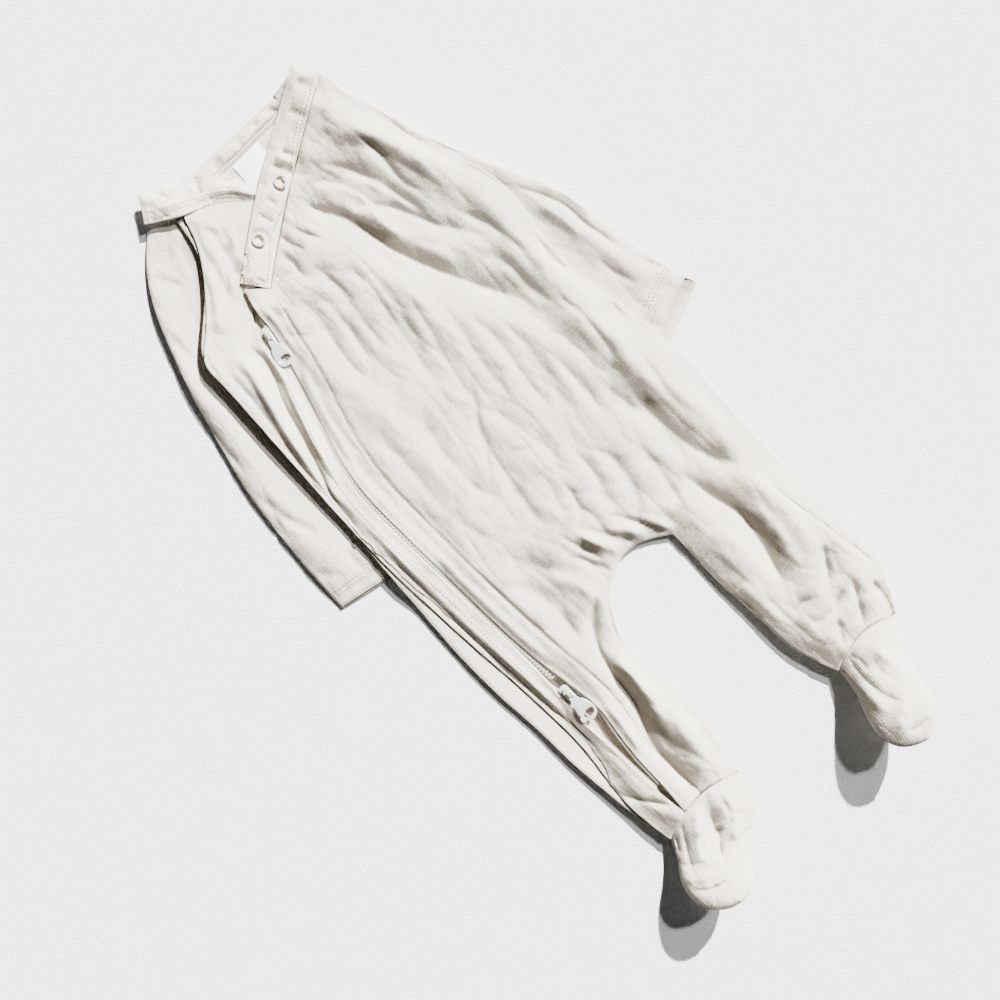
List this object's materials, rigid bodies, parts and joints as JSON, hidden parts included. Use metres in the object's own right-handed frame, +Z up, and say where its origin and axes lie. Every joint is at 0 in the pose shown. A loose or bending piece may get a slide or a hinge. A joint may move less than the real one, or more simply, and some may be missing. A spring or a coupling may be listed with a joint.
{
  "type": "footed baby sleepsuit",
  "caption": "Footed baby sleepsuit laid flat, with a wrap neckband on ring snaps and a zip down one leg.",
  "frame": {"origin": "under the middle of the suit's box, on the surface that it lies on", "axes": "+X to the wearer's left, +Y up the suit to the neck, +Z up from the surface"},
  "size_m": [0.3004, 0.5737, 0.0453],
  "materials": {
    "cloth": "soft cotton jersey, undyed",
    "rib": "cotton interlock band, undyed",
    "zip_tape": "woven zip tape with a nylon coil",
    "label": "smooth woven label, bare",
    "zip_metal": "satin"
  },
  "bodies": {
    "suit": {"back": "cloth", "front_left": "cloth", "front_right": "cloth", "sleeve_left": "cloth", "sleeve_right": "cloth", "foot_left_upper": "cloth", "foot_left_sole": "cloth", "foot_right_upper": "cloth", "foot_right_sole": "cloth", "neckband_back": "rib", "neckband_underlap": "rib", "neckband_overlap": "rib", "label": "label", "zip_tape_left": "zip_tape", "zip_tape_right": "zip_tape", "slider_upper": "zip_metal", "slider_lower": "zip_metal", "snap_upper": "zip_metal", "snap_lower": "zip_metal"},
    "upper_pull": {"pull_upper": "zip_metal"},
    "lower_pull": {"pull_lower": "zip_metal"}
  },
  "joints": [
    {"name": "upper_pull_hinge", "type": "hinge", "parent": "suit", "child": "upper_pull", "pos_m": [-0.06223, 0.16935, 0.00831], "axis": [-0.9903, 0.1392, 0], "range_deg": [0, 120]},
    {"name": "lower_pull_hinge", "type": "hinge", "parent": "suit", "child": "lower_pull", "pos_m": [-0.08743, -0.11865, 0.00926], "axis": [-0.9986, -0.0523, 0], "range_deg": [0, 120]}
  ]
}
